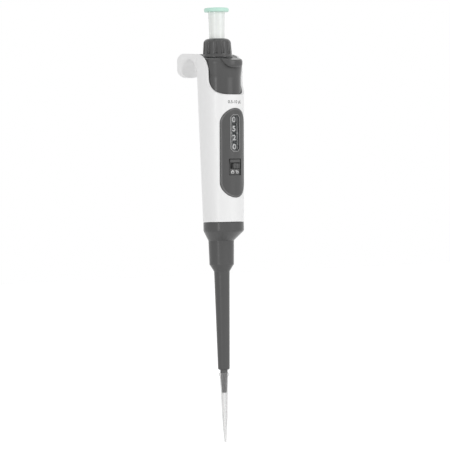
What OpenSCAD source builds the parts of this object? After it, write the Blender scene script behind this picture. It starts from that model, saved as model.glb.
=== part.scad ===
// Adjustable single-channel air-displacement pipette with a fitted disposable tip.
// Millimetres. The plunger axis is Z, the nozzle's lower end is the origin,
// the counter faces -Y and the finger hook points to +Y.

/* [Nozzle and tip] */
// Length of the nozzle that shows below the ejector sleeve
nozzle_l = 14.5; // [12:0.1:18]
// Radius of the nozzle at its lower end
nozzle_end_r = 1.6; // [1.4:0.05:1.9]
// Radius of the air channel in the nozzle
channel_r = 0.9; // [0.7:0.05:1.1]
// How far the tip reaches up the nozzle
tip_seat = 12.6; // [8:0.1:13]
// Length of the tip below the nozzle's end
tip_reach = 31.5; // [20:0.5:45]
// Radial clearance of the tip on the nozzle's cone
tip_fit = 0.03; // [0.01:0.01:0.08]
// Wall of the tip
tip_wall = 0.5; // [0.35:0.05:0.7]
// Height of the tip's collar
tip_collar_h = 1.8; // [1:0.1:3]
// How far the collar stands out of the tip
tip_collar = 0.45; // [0.3:0.05:0.7]
// Radius of the tip's orifice
orifice_r = 0.3; // [0.2:0.05:0.5]

/* [Ejector sleeve] */
// Outer radius of the sleeve at its lower end
sleeve_end_r = 3.75; // [3.6:0.05:4.2]
// Outer radius of the sleeve's cone at its upper end
cone_top_r = 4.95; // [4.7:0.05:5.4]
// Height of the long cone
cone_h = 62.2; // [50:0.1:75]
// Height of the flare between cone and neck
flare_h = 4.4; // [3:0.1:7]
// Outer radius of the neck at its lower end
neck_bottom_r = 7.75; // [7.6:0.05:8.1]
// Outer radius of the neck at its upper end
neck_top_r = 8.1; // [8:0.05:8.6]
// Height of the neck
neck_h = 15.1; // [13:0.1:20]
// Height of the slope between neck and shoulder
shoulder_slope_h = 6.6; // [5:0.1:9]
// Height of the straight rim at the top of the shoulder
shoulder_rim_h = 5.1; // [5:0.1:8]
// Wall of the sleeve
sleeve_wall = 1; // [0.8:0.05:1.2]
// Radial clearance between the sleeve and the shaft inside it
sleeve_gap = 0.35; // [0.3:0.05:0.5]
// Travel of the tip ejector
eject_travel = 6.5; // [5:0.1:7]

/* [Handle shell] */
// Gap between the ejector sleeve and the handle shell at rest
seam_gap = 0.3; // [0.3:0.05:0.6]
// Outer radius of the shell at its lower edge
shell_bottom_r = 12.9; // [12.8:0.05:13.4]
// Outer radius of the shell at the thumb opening's lower edge
shell_top_r = 14.6; // [14.5:0.05:15.2]
// Height from the shell's lower edge to the thumb opening
body_h = 79.7; // [79:0.1:86]
// Wall of the shell below the ejector button
shell_wall = 1.9; // [1.7:0.05:2]
// Wall of the shell where the ejector button slides
throat_wall = 1.45; // [1.3:0.05:1.5]
// How far the shell's axis lies in front of the plunger axis
shell_offset = 2.8; // [2.6:0.05:3]
// Height of the thumb opening below the deck
opening_h = 21.4; // [21.4:0.1:24]
// Radius of the hollow corner at the foot of the thumb opening
opening_foot_r = 10.1; // [9:0.1:11]
// Radius of the round top edge of the shell's cheeks
cheek_r = 10; // [9:0.1:11]
// Thickness of the deck under the knob
deck_t = 1.9; // [1.5:0.1:2.2]

/* [Finger hook] */
// Distance from the plunger axis to the hook's outer face
hook_reach = 31.7; // [30:0.1:36]
// Width of the hook
hook_w = 17.6; // [15:0.1:18]
// Radius of the hook's bearing surface for a rail or a finger
hook_r = 7.4; // [7:0.1:8]
// Thickness of the hook's tongue
tongue_t = 4.2; // [4.2:0.1:4.8]
// Thickness of the hook's roof over its bearing surface
roof_t = 4.2; // [3.5:0.1:5.5]
// Outer corner radius between roof and tongue
hook_corner_r = 7.5; // [5:0.1:8]
// Straight length of the tongue below the bearing surface
tongue_drop = 3.5; // [1.5:0.1:8]
// Corner radius at the tongue's end
tongue_corner_r = 7.4; // [4:0.1:7.6]
// Radius at which the hook's bearing surface opens out at both sides
hook_mouth_r = 2.4; // [1.5:0.1:2.4]
// Edge radius of the tongue, seen from above
tongue_edge_r = 1.5; // [0.8:0.1:1.7]
// Fillet between the hook and the shell, seen from above
hook_fillet_r = 8; // [5:0.1:10]
// Height of the hook's roof above the deck's upper face
hook_rise = 4.1; // [3.5:0.1:5]

/* [Front cover] */
// Width of the front cover
cover_w = 19; // [18.6:0.1:19.6]
// Height of the front cover
cover_h = 56; // [55:0.1:57]
// Height of the cover's lower end above the shell's lower edge
cover_z_off = 15.2; // [15:0.1:16]
// Thickness of the cover
cover_t = 1.2; // [1:0.05:1.3]
// Gap round the cover in its recess
cover_gap = 0.12; // [0.08:0.02:0.2]
// Width of the counter window
window_w = 6.8; // [6.2:0.1:7.2]
// Height of the counter window
window_h = 22.6; // [22:0.1:23]
// Height of the cover's upper end above the window's middle
window_drop = 15.6; // [15.2:0.1:15.8]
// Size of the window's cut corners
window_cut = 2; // [1:0.1:3]
// Thickness of the window lens
lens_t = 0.5; // [0.4:0.05:0.6]
// Fit of the lens in its rebate
lens_fit = 0.04; // [0.02:0.01:0.08]

/* [Volume lock] */
// Width of the recess round the lock
recess_w = 9.4; // [9:0.1:10]
// Height of the recess round the lock
recess_h = 10.4; // [10:0.1:11]
// Depth of the recess
recess_d = 0.6; // [0.4:0.05:0.7]
// Height of the window's middle above the middle of the lock's recess
lock_drop = 21.3; // [21.2:0.1:21.8]
// Width of the lock's finger pad
pad_w = 4.8; // [4.6:0.1:5.4]
// Height of the lock's finger pad
pad_h = 3; // [2.6:0.1:3.2]
// Travel of the lock from open to locked
lock_travel = 1.8; // [1.4:0.1:1.9]

/* [Counter] */
// Distance from one digit to the next
drum_pitch = 5.7; // [5.6:0.05:5.75]
// Radius of the digit drums
drum_r = 5.2; // [5.15:0.05:5.3]
// Radius of the counter axle
axle_r = 0.8; // [0.7:0.05:0.9]
// Radius of the carry pinions' shaft
carry_shaft_r = 0.5; // [0.4:0.05:0.55]
// Running clearance of the drums and pinions on their shafts
running_fit = 0.04; // [0.02:0.01:0.08]
// Module of the drive gears
drive_m = 0.48; // [0.47:0.01:0.49]
// Teeth of the spindle gear
spindle_teeth = 30; // [29:1:31]
// Teeth of the counter gear
counter_teeth = 12; // [12:1:13]
// Face width of the drive gears
drive_face = 2.6; // [2:0.1:2.8]
// Module of the carry gears
carry_m = 0.48; // [0.46:0.01:0.49]
// Teeth of a drum's carry ring
ring_teeth = 20; // [19:1:21]
// Teeth of a carry pinion
pinion_teeth = 8; // [8:1:9]

/* [Volume setting] */
// Volume that the counter shows, in microlitres
set_volume = 5.2; // [4.6:0.1:5.4]
// Smallest volume, in microlitres
min_volume = 0.5; // [0.5:0.1:1]
// Largest volume, in microlitres
max_volume = 10; // [9:0.1:10.2]
// Piston stroke per microlitre
stroke_per_ul = 1.2; // [1.1:0.01:1.25]
// Extra stroke that blows the last drop out
blow_out = 3; // [2.5:0.1:3.4]
// Radius of the spindle below its collar
spindle_r = 4.5; // [4.4:0.05:4.6]
// Radius of the spindle's tube round the push-button stem
spindle_tube_r = 6.6; // [6.5:0.05:6.7]
// Height of the stroke nut's threaded part
nut_h = 8; // [7:0.1:8.5]

/* [Push button and knob] */
// Height of the volume knob
knob_h = 11.9; // [11:0.1:14]
// Radius of the knob over its ribs
knob_r = 9.15; // [9:0.05:9.6]
// Radius of the knob's base flange
knob_flange_r = 9.9; // [9.7:0.05:10.1]
// Number of flutes round the knob
knob_flutes = 12; // [8:1:14]
// Depth of the flutes
flute_d = 0.75; // [0.5:0.05:0.9]
// Radius of the push-button stem where it meets the cap
stem_top_r = 5.25; // [5.1:0.05:5.3]
// Radius of the push-button stem inside the knob
stem_r = 4.95; // [4.8:0.05:5.05]
// Length of stem that shows between knob and cap
stem_l = 16.8; // [16.3:0.1:20]
// Radius of the cap
cap_r = 7.85; // [7.5:0.05:8.5]
// Height of the cap
cap_h = 2.6; // [2.4:0.1:4]
// Radius of the plunger rod
rod_r = 2; // [1.7:0.05:2.1]
// Radius of the piston
piston_r = 0.515; // [0.45:0.005:0.55]

/* [Hidden] */
$fn = 96;

// Colours of the materials
white_shell = "#E8E8E8";
dark_grey = "#5C5C5C";
mint = "#C3EADC";
frosted = "#E6E8E6";
steel = "#B9BCC0";
spring_steel = "#9A9DA1";
drum_black = "#2E2E30";
chassis_grey = "#8C8F92";
seal_white = "#F2F2EE";
rubber_black = "#232323";

// Clearances
loose_gap = 0.3;
seat_gap = 0.15;
slip = 0.05;

// Heights along the plunger axis
cone_top_z = nozzle_l + cone_h;
neck_z = cone_top_z + flare_h;
shoulder_z = neck_z + neck_h;
rim_z = shoulder_z + shoulder_slope_h;
sleeve_top_z = rim_z + shoulder_rim_h;
shell_z = sleeve_top_z + seam_gap;
opening_z = shell_z + body_h;
deck_z = opening_z + opening_h;
deck_top_z = deck_z + deck_t;
cheek_edge_y = 3 - opening_foot_r;
crown_rise = 2.8;
knob_z = deck_top_z + 0.6;
knob_top_z = knob_z + knob_h;
cap_z = knob_top_z + stem_l;
shell_taper = (shell_top_r - shell_bottom_r) / body_h;
throat_z = opening_z - 4.1 - eject_travel - 0.5;

// Front cover, window and lock
cover_z = shell_z + cover_z_off;
window_z = cover_z + cover_h - window_drop;
recess_z = window_z - lock_drop;
slot_w = pad_w + lock_travel + 0.8;
lock_bar_h = 1.9;
lock_bar_z = recess_z + recess_h / 2 - 0.5 - lock_bar_h;
slot_z = lock_bar_z - 0.6 - pad_h / 2;

// Counter, from the lowest drum's underside
counter_z = window_z - 2 * drum_pitch - 0.4;
counter_y = -drive_m * (spindle_teeth + counter_teeth) / 2;
gear_hub_r = 1.5;
drum_face_h = 4.1;
ring_h = 1.2;
drum_h = drum_pitch - 0.1;
frame_t = 1.4;
frame_bottom_z = counter_z - loose_gap - frame_t;
frame_top_z = counter_z + 4 * drum_pitch - 0.1 + loose_gap;
gear_z = frame_bottom_z - 0.4 - drive_face;
carry_distance = carry_m * (ring_teeth + pinion_teeth) / 2;
carry_angle = 200;
carry_pos = [carry_distance * cos(carry_angle), counter_y - carry_distance * sin(carry_angle)];

// Chassis
plug_z = shell_z + 0.2;
plug_h = 8;
floor_z = shell_z + 2.6;
mid_plate_t = 2.8;
mid_plate_z = gear_z - 0.6 - mid_plate_t;
top_plate_t = 3.6;
top_plate_z = frame_top_z + frame_t + 1.8;
collar_z = top_plate_z + top_plate_t + 0.2;
collar_h = 1.8;
collar_r = 7.4;
ring_r = collar_r + 1;
ring_z = collar_z + collar_h + 0.2;
ring_t = 1.6;
rail_x = spindle_teeth * drive_m / 2 + 0.8;
rail_y = [0.1, 3.3];

// Stroke nut and plunger
travel_up = (max_volume - set_volume) * stroke_per_ul;
travel_down = (set_volume - min_volume) * stroke_per_ul;
press_travel = set_volume * stroke_per_ul + blow_out;
lip_z = floor_z + travel_down + 0.36;
lip_t = 1.5;
spindle_end_z = lip_z + lip_t + travel_up + 0.9;
nut_z = spindle_end_z + 3;
nut_r = 7.2;
cage_r = 6.4;
cage_bore_r = 5.2;
head_z = lip_z - 0.2 - 3;
head_h = 3;
head_r = 4.6;
lowest_travel = travel_down + press_travel;
step_z = ring_z + ring_t + 0.4;
washer_z = step_z + lowest_travel + 0.4;
washer_t = 1;
blow_spring_h = 6;
stem_z = washer_z + washer_t + blow_spring_h + 0.3;
tube_bore_r = stem_top_r + 0.1;

// Shaft
shaft_cone_r = cone_top_r - sleeve_wall - sleeve_gap;
nozzle_top_r = sleeve_end_r - sleeve_wall - sleeve_gap;
shaft_r = neck_bottom_r - sleeve_wall - 0.4;
flange_h = 1.6;
boss_l = 2.9;
flange_z = plug_z - boss_l - flange_h;
flange_r = shaft_r + 0.55;
cavity_r = shaft_r - 1.15;
cavity_z = neck_z + 4.9;
pocket_r = 2.6;
pocket_z = neck_z - 1.1;
cylinder_r = piston_r + 0.05;
cylinder_l = 38;
cylinder_z = pocket_z - cylinder_l;
piston_end_z = cylinder_z + lowest_travel + 3;

// Ejector
bar_x = [9.2, 10.6];
bar_y = [-4.5, -0.5];
button_r = shell_top_r - throat_wall - 0.4;
button_wall = 1.8;
button_z = opening_z - 4.1;
lobe_r = button_r + 1.3;
lobe_corner_r = 3.4;
lobe_z = deck_z - 10.5;
lobe_top_z = deck_top_z + 0.1;
pad_offset = 4;
thumb_w = 16;
thumb_edge_r = 6.4;
thumb_r = button_r - 0.85;
chin_r = 1.5;
chin_z = deck_z - 2.7;
chin_low_z = chin_z - 1.7;
roof_slope = 11;
yoke_z = opening_z + 13.8;
yoke_t = 2;

// Outer radius of the shell at a height
function shell_r(z) = shell_bottom_r + (z - shell_z) * shell_taper;

// Solid of the shell's outside between two heights, moved inwards by an inset
module shell_core(inset, z0, z1) {
    translate([0, -shell_offset, z0])
        cylinder(h = z1 - z0, r1 = shell_r(z0) - inset, r2 = shell_r(z1) - inset);
}

// Extrudes a front view, drawn in X and Z, from y0 to the smaller y1
module front_view(y0, y1) {
    translate([0, y0, 0])
        rotate([90, 0, 0])
            linear_extrude(y0 - y1) children();
}

// Extrudes a side view, drawn in Y and Z, to a width on both sides of X = 0
module side_view(w) {
    translate([-w / 2, 0, 0])
        rotate([90, 0, 90])
            linear_extrude(w) children();
}

// Turns a half section, drawn in radius and Z, round the plunger axis
module turned() {
    rotate_extrude() children();
}

// Box given by its ranges
module span(x, y, z) {
    translate([min(x), min(y), min(z)])
        cube([max(x) - min(x), max(y) - min(y), max(z) - min(z)]);
}

// Tube on the plunger axis
module tube(r_out, r_in, z0, z1) {
    translate([0, 0, z0])
        difference() {
            cylinder(h = z1 - z0, r = r_out);
            translate([0, 0, -1]) cylinder(h = z1 - z0 + 2, r = r_in);
        }
}

// Involute spur gear: flank points come from the base circle's involute.
// thin is taken off each tooth's width for backlash; top and root are in modules.
pressure_angle = 25;
function involute_angle(rb, r) = r <= rb ? 0 : sqrt(pow(r / rb, 2) - 1) * 180 / PI - acos(rb / r);
function flank_half(z, m, thin, r) =
    let (rb = m * z / 2 * cos(pressure_angle), rp = m * z / 2)
    90 / z - thin / rp * 90 / PI + involute_angle(rb, rp) - involute_angle(rb, r);
module gear_profile(z, m, top, root, thin) {
    rp = m * z / 2;
    rb = rp * cos(pressure_angle);
    r_top = rp + top * m;
    r_root = rp - root * m;
    r_foot = max(rb, r_root);
    steps = 3;
    flank = [for (i = [0 : steps]) r_foot + (r_top - r_foot) * i / steps];
    tooth = concat(
        [[r_root, -flank_half(z, m, thin, r_foot)]],
        [for (r = flank) [r, -flank_half(z, m, thin, r)]],
        [for (i = [steps : -1 : 0]) [flank[i], flank_half(z, m, thin, flank[i])]],
        [[r_root, flank_half(z, m, thin, r_foot)]]
    );
    polygon([
        for (k = [0 : z - 1])
            for (p = tooth)
                [p[0] * cos(p[1] + 360 * k / z), p[0] * sin(p[1] + 360 * k / z)]
    ]);
}

// Round-wire compression spring, as a polyhedron swept along its helix
module coil_spring(r, wire_r, z0, z1, turns, sides = 6, per_turn = 14) {
    rise = z1 - z0 - 2 * wire_r;
    rings = turns * per_turn;
    points = [
        for (i = [0 : rings])
            for (j = [0 : sides - 1])
                let (
                    a = 360 * i / per_turn,
                    b = 360 * j / sides,
                    rr = r + wire_r * cos(b)
                )
                [rr * cos(a), rr * sin(a), z0 + wire_r + rise * i / rings + wire_r * sin(b)]
    ];
    faces = concat(
        [[for (j = [0 : sides - 1]) j]],
        [
            for (i = [0 : rings - 1])
                for (j = [0 : sides - 1])
                    [
                        (i + 1) * sides + j,
                        (i + 1) * sides + (j + 1) % sides,
                        i * sides + (j + 1) % sides,
                        i * sides + j
                    ]
        ],
        [[for (j = [sides - 1 : -1 : 0]) rings * sides + j]]
    );
    polyhedron(points, faces);
}

// ---------------------------------------------------------------- handle

// Side view of the shell's cheeks, with the S-shaped edge of the thumb opening
module cheek_side() {
    edge_y = cheek_edge_y;
    foot = [edge_y - opening_foot_r, opening_z + opening_foot_r];
    crown = [edge_y + cheek_r, deck_top_z + crown_rise - cheek_r];
    translate([edge_y, opening_z - 1]) square([40, crown[1] - opening_z + 1]);
    translate(crown) circle(cheek_r);
    polygon([
        [crown[0], crown[1]], [crown[0], crown[1] + cheek_r],
        [hook_reach - hook_corner_r, deck_top_z + hook_rise], [40, deck_top_z + hook_rise],
        [40, crown[1]]
    ]);
    difference() {
        translate([foot[0], opening_z - 1]) square([opening_foot_r + 0.01, opening_foot_r + 1]);
        translate(foot) circle(opening_foot_r);
        translate([foot[0] - 1, foot[1]]) square(opening_foot_r + 2);
    }
}

hook_roof_z = deck_top_z + hook_rise;
hook_pos = [hook_reach - tongue_t - hook_r, hook_roof_z - roof_t - hook_r];

// Side view of the hook: roof and tongue round a bearing surface of radius hook_r
module hook_side() {
    outer_y = hook_reach - hook_corner_r;
    inner_y = hook_pos[0] - hook_r;
    tongue_z = hook_pos[1] - tongue_drop;
    difference() {
        union() {
            translate([0, tongue_z]) square([hook_reach, hook_roof_z - hook_corner_r - tongue_z]);
            translate([0, tongue_z]) square([outer_y, hook_roof_z - tongue_z]);
            translate([outer_y, hook_roof_z - hook_corner_r]) circle(hook_corner_r);
        }
        translate(hook_pos) circle(hook_r);
        translate([inner_y, tongue_z - 1]) square([2 * hook_r, tongue_drop + 1]);
        // The root thins out along the shell's back
        polygon([
            [-1, tongue_z - 1], [inner_y + 0.1, tongue_z - 1], [inner_y + 0.1, hook_pos[1]],
            [4, hook_roof_z - 6], [-1, hook_roof_z - 6]
        ]);
    }
}

// The hook's outline from behind, with round corners at the tongue's end
module hook_back() {
    z = hook_pos[1] - tongue_drop;
    w = hook_w / 2 - tongue_corner_r;
    translate([-40, z + tongue_corner_r]) square([80, 40]);
    translate([-w, z]) square([2 * w, 20]);
    for (s = [-1, 1])
        translate([s * w, z + tongue_corner_r]) circle(tongue_corner_r);
}

// The hook from above: a straight tongue that flows into the round shell
module hook_plan() {
    r = shell_r(hook_pos[1]);
    fx = hook_w / 2 + hook_fillet_r;
    fy = sqrt(pow(r + hook_fillet_r, 2) - fx * fx) - shell_offset;
    touch = [fx, fy + shell_offset] * r / (r + hook_fillet_r) - [0, shell_offset];
    e = tongue_edge_r;
    translate([-hook_w / 2, 0]) square([hook_w, hook_reach - e]);
    translate([e - hook_w / 2, 0]) square([hook_w - 2 * e, hook_reach]);
    for (s = [-1, 1])
        translate([s * (hook_w / 2 - e), hook_reach - e]) circle(e);
    for (s = [-1, 1])
        difference() {
            polygon([[0, 0], [s * touch[0], touch[1]], [s * fx, fy], [0, fy]]);
            translate([s * fx, fy]) circle(hook_fillet_r);
        }
}

// Room that opens the hook's bearing surface at both sides, with a round edge
module hook_mouth() {
    for (s = [-1, 1])
        translate([0, hook_pos[0], hook_pos[1]]) {
            rotate([0, s * 90, 0])
                rotate([0, 0, s * 90])
                rotate_extrude(angle = 180)
                    difference() {
                        translate([0, hook_w / 2 - hook_mouth_r]) square([hook_r + hook_mouth_r, hook_mouth_r + 12]);
                        translate([hook_r + hook_mouth_r, hook_w / 2 - hook_mouth_r]) circle(hook_mouth_r);
                    }
            translate([0, 0, -tongue_drop - 1])
                linear_extrude(tongue_drop + 1)
                    difference() {
                        translate([s * (hook_w / 2 + 6), (hook_r + hook_mouth_r) / 2])
                            square([12 + 2 * hook_mouth_r, hook_r + hook_mouth_r], center = true);
                        translate([s * (hook_w / 2 - hook_mouth_r), hook_r + hook_mouth_r]) circle(hook_mouth_r);
                    }
        }
}

// Front outline of the cover, grown by d
module cover_outline(d) {
    r = cover_w / 2;
    translate([-r - d, cover_z + r]) square([2 * (r + d), cover_h - 2 * r]);
    for (z = [cover_z + r, cover_z + cover_h - r])
        translate([0, z]) circle(r + d);
}

module window_outline(d) {
    w = window_w / 2 + d;
    h = window_h / 2 + d;
    c = window_cut;
    translate([0, window_z])
        polygon([
            [-w, -h + c], [-w + c, -h], [w - c, -h], [w, -h + c],
            [w, h - c], [w - c, h], [-w + c, h], [-w, h - c]
        ]);
}

// Countersunk screw that ties the shell to the chassis, below the cover's lock
screw_z = cover_z + 6;
screw_r = 1.25;
screw_head_r = 1.7;
module screw_form(grow, l) {
    face_y = -(shell_offset + shell_r(screw_z) - cover_t - 0.2);
    translate([0, face_y, screw_z])
        rotate([-90, 0, 0]) {
            cylinder(h = l, r = screw_r + grow);
            cylinder(h = screw_head_r - screw_r, r1 = screw_head_r + grow, r2 = screw_r + grow);
            // The shell's countersink is open to the front
            if (grow > 0)
                translate([0, 0, -1]) cylinder(h = 1.01, r = screw_head_r + grow);
        }
}

module handle_shell() {
    color(white_shell)
        difference() {
            union() {
                difference() {
                    union() {
                        shell_core(0, shell_z, hook_roof_z);
                        difference() {
                            intersection() {
                                side_view(80) hook_side();
                                front_view(60, 0) hook_back();
                                linear_extrude(hook_roof_z + 1) hook_plan();
                            }
                            hook_mouth();
                        }
                    }
                    shell_core(shell_wall, shell_z - 1, throat_z);
                    shell_core(throat_wall, throat_z - 0.01, hook_roof_z + 1);
                }
                // Deck under the knob; it ends behind the ejector button
                intersection() {
                    shell_core(throat_wall - 0.4, deck_z, deck_top_z);
                    span([-40, 40], [deck_front_y, 40], [deck_z - 1, deck_top_z + 1]);
                }
            }
            difference() {
                span([-40, 40], [-40, 60], [opening_z, hook_roof_z + 5]);
                side_view(90) cheek_side();
            }
            tube(spindle_tube_r + 0.4, 0, deck_z - 1, deck_top_z + 1);
            // Recess for the cover, and the openings behind it
            intersection() {
                difference() {
                    front_view(-shell_offset, -40) cover_outline(cover_gap);
                    shell_core(cover_t + cover_gap, shell_z, opening_z);
                }
                span([-40, 40], [-40, -shell_offset], [shell_z, opening_z]);
            }
            intersection() {
                front_view(-shell_offset - 8, -30) cover_outline(-1.2);
                span([-7.5, 7.5], [-30, 0], [slot_z - 5.2, frame_top_z + 0.2]);
            }
            screw_form(slip, 8);
        }
}

deck_front_y = -1;

module front_cover() {
    color(dark_grey) {
        difference() {
            intersection() {
                front_view(-shell_offset, -40) cover_outline(0);
                difference() {
                    shell_core(0, shell_z, opening_z);
                    shell_core(cover_t, shell_z - 1, opening_z + 1);
                }
            }
            front_view(-shell_offset, -40) window_outline(0);
            intersection() {
                front_view(-shell_offset, -40) window_outline(0.8);
                shell_core(cover_t - lens_t, shell_z, opening_z);
            }
            // Recess round the lock, and the slot of its pad
            intersection() {
                span([-recess_w / 2, recess_w / 2], [-40, 0], [recess_z - recess_h / 2, recess_z + recess_h / 2]);
                difference() {
                    shell_core(-1, shell_z, opening_z);
                    shell_core(recess_d, shell_z, opening_z);
                }
            }
            span([-slot_w / 2, slot_w / 2], [-40, 0], [slot_z - pad_h / 2 - 0.3, slot_z + pad_h / 2 + 0.3]);
        }
        // Bar over the pad
        intersection() {
            span([0.8 - recess_w / 2, recess_w / 2 - 0.8], [-40, 0], [lock_bar_z, lock_bar_z + lock_bar_h]);
            difference() {
                shell_core(0.1, shell_z, opening_z);
                shell_core(recess_d + 0.1, shell_z - 1, opening_z + 1);
            }
        }
        lock_guides();
        cover_lugs();
    }
}

// Channels on the cover's back that carry the lock slider
plate_y = -(shell_offset + shell_r(slot_z) - cover_t - 1.25);
plate_t = 1;
plate_z = [slot_z - pad_h / 2 - 1.6, slot_z + pad_h / 2 + 0.5];
guide_x = [-slot_w / 2 - 1, slot_w / 2 - 0.8];
module lock_guides() {
    reach_y = plate_y + plate_t + 0.75;
    for (g = [[plate_z[0] - 0.9, plate_z[0] - 0.1, plate_z[0] + 0.5], [plate_z[1] + 0.8, plate_z[1] + 0.1, plate_z[1] - 0.5]])
        intersection() {
            union() {
                span(guide_x, [-40, reach_y], [g[0], g[1]]);
                span(guide_x, [plate_y + plate_t + 0.1, reach_y], [g[0], g[2]]);
            }
            shell_core(cover_t - 0.2, shell_z, opening_z);
        }
}

// Snap lugs that hold the cover in the counter opening
module cover_lugs() {
    for (z = [frame_bottom_z + 1, frame_top_z - 6.5], s = [-1, 1])
        intersection() {
            span([s * 6.5, s * 7.4], [-40, -shell_offset - 9.2], [z, z + 3]);
            shell_core(cover_t - 0.2, shell_z, opening_z);
        }
}

module window_lens() {
    color([0.85, 0.9, 0.92, 0.45])
        intersection() {
            difference() {
                shell_core(0.1, shell_z, opening_z);
                shell_core(cover_t - 0.2, shell_z - 1, opening_z + 1);
            }
            union() {
                front_view(-shell_offset, -40) window_outline(-lens_fit);
                intersection() {
                    front_view(-shell_offset, -40) window_outline(0.8 - lens_fit);
                    shell_core(cover_t - lens_t + lens_fit, shell_z, opening_z);
                }
            }
        }
}

// The lock slides sideways; its finger then stands against the counter gear
module lock_slider() {
    x = lock_travel / 2;
    pad_face_y = -(shell_offset + shell_r(slot_z) - 0.25);
    finger_x = counter_teeth * drive_m / 2 + drive_m + lock_travel + 0.2;
    color(dark_grey) {
        difference() {
            span([x - pad_w / 2, x + pad_w / 2], [pad_face_y, plate_y], [slot_z - pad_h / 2, slot_z + pad_h / 2]);
            for (i = [-1 : 1])
                translate([x + i * pad_w / 3.6, pad_face_y, slot_z - pad_h])
                    cylinder(h = 2 * pad_h, r = 0.3);
        }
        intersection() {
            union() {
                span([x - slot_w / 2, finger_x + 0.5], [plate_y, plate_y + plate_t], plate_z);
                span([finger_x, finger_x + 1], [plate_y, counter_y + 1], [plate_z[1] - 1.2, plate_z[1]]);
            }
            shell_core(cover_t + 0.3, shell_z, opening_z);
        }
        span([finger_x, finger_x + 1], [counter_y - 1.5, counter_y + 1], [plate_z[1] - 1.2, gear_z + drive_face - 0.2]);
    }
}

module handle_screw() {
    color(steel)
        difference() {
            screw_form(0, 7);
            translate([0, -(shell_offset + shell_r(screw_z) - cover_t - 0.5), screw_z])
                span([-1.1, 1.1], [-2, 0], [-0.25, 0.25]);
        }
}

// ---------------------------------------------------------------- chassis

module chassis() {
    color(chassis_grey)
        difference() {
            union() {
                tube(flange_r + 0.1, 0, flange_z + flange_h, plug_z + 1);
                intersection() {
                    shell_core(shell_wall + seat_gap, plug_z, top_plate_z + top_plate_t);
                    union() {
                        // Plug that closes the handle's lower end
                        span([-14, 14], [-18, 14], [plug_z - 1, plug_z + plug_h]);
                        // Side rails that carry the plates and guide the stroke nut
                        for (s = [-1, 1])
                            span([s * rail_x, s * 14], rail_y, [plug_z - 1, top_plate_z + 1]);
                        // Tower that takes the handle screw
                        span([-3.4, 3.4], [-20, -nut_r - 0.6], [plug_z - 1, screw_z + 3.5]);
                        // Middle plate, cut back in front for the lock slider
                        span([-14, 14], [plate_y + plate_t + 1, 14], [mid_plate_z, mid_plate_z + mid_plate_t]);
                        // Top plate inside the ejector button
                        intersection() {
                            span([-14, 14], [-20, 14], [top_plate_z, top_plate_z + top_plate_t]);
                            union() {
                                translate([0, -shell_offset, 0]) cylinder(h = collar_z, r = button_r - button_wall - 0.3);
                                span([-14, 14], [deck_front_y + 2.2, 14], [0, collar_z]);
                            }
                        }
                    }
                }
                // Skirt of the top plate that the bearing ring snaps over
                tube(ring_r, collar_r + 0.15, top_plate_z + 1, ring_z);
            }
            // Bore for the piston head and the nut's cage
            tube(cage_r + 0.3, 0, floor_z, plug_z + plug_h + 1);
            tube(cavity_r + 0.1, 0, flange_z, floor_z + 1);
            // Bearings of the spindle
            tube(spindle_r + slip, 0, mid_plate_z - 1, collar_z + 1);
            // Guide grooves for the stroke nut's ears
            span([-nut_ear_x - 0.2, nut_ear_x + 0.2], nut_ear_y + [-0.15, 0.15], [plug_z + plug_h, mid_plate_z]);
            // Channel for the ejector bar
            span([bar_x[0] - 0.3, 20], bar_y + [-0.3, 0.3], [plug_z - 1, collar_z + 1]);
            span([bar_x[0] - 0.6, 20], bar_y + [-1.4, 0.4], [top_plate_z - 1, collar_z + 1]);
            // Hole for the handle screw
            translate([0, -nut_r + 1, screw_z])
                rotate([90, 0, 0])
                    cylinder(h = 20, r = screw_r + slip);
            // Seats of the counter axle and the carry shaft
            translate([0, counter_y, mid_plate_z + 1]) cylinder(h = mid_plate_t, r = axle_r + slip);
            // Room for the gear rim and the lock's finger
            span([3.2, 9], [-14, counter_y + 1.3], [mid_plate_z - 1, mid_plate_z + mid_plate_t + 1]);
        }
}

nut_ear_x = rail_x + 0.7;
nut_ear_y = [0.9, 2.5];

// Snap ring that traps the spindle's collar and seats the ejector spring
module bearing_ring() {
    color(chassis_grey)
        difference() {
            tube(ring_r, spindle_tube_r + 0.15, ring_z + 0.02, ring_z + ring_t);
            for (a = [45 : 90 : 315])
                rotate([0, 0, a])
                    span([collar_r + 0.4, collar_r + 3], [-1, 1], [ring_z - 1, ring_z + ring_t + 1]);
        }
}

// ---------------------------------------------------------------- counter

spine_x = [7.7, 8.6];
spine_y = [-8.3, -5.6];
carry_spine_y = [-5.4, -2.4];
module counter_frame() {
    color(chassis_grey)
        difference() {
            union() {
                for (z = [frame_bottom_z, frame_top_z])
                    difference() {
                        union() {
                            translate([0, counter_y, z]) cylinder(h = frame_t, r = 3.2);
                            translate([carry_pos[0], carry_pos[1], z]) cylinder(h = frame_t, r = 1.7);
                            span([-spine_x[1], spine_x[1]], [spine_y[0], spine_y[0] + 2], [z, z + frame_t]);
                            span(-spine_x, [spine_y[0], carry_spine_y[1]], [z, z + frame_t]);
                        }
                        tube(spindle_r + 0.5, 0, z - 1, z + frame_t + 1);
                    }
                span(spine_x, spine_y, [mid_plate_z + mid_plate_t, top_plate_z]);
                span(-spine_x, carry_spine_y, [mid_plate_z + mid_plate_t, top_plate_z]);
            }
            translate([0, counter_y, frame_bottom_z - 1]) cylinder(h = frame_t + 2, r = gear_hub_r + 0.1);
            translate([0, counter_y, 0]) cylinder(h = 300, r = axle_r + slip);
            translate([carry_pos[0], carry_pos[1], 0]) cylinder(h = 300, r = carry_shaft_r + slip);
            // The big gear turns between the posts
            tube(spindle_teeth * drive_m / 2 + drive_m + 0.3, 0, gear_z - 0.7, gear_z + drive_face + 0.3);
        }
}

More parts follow.
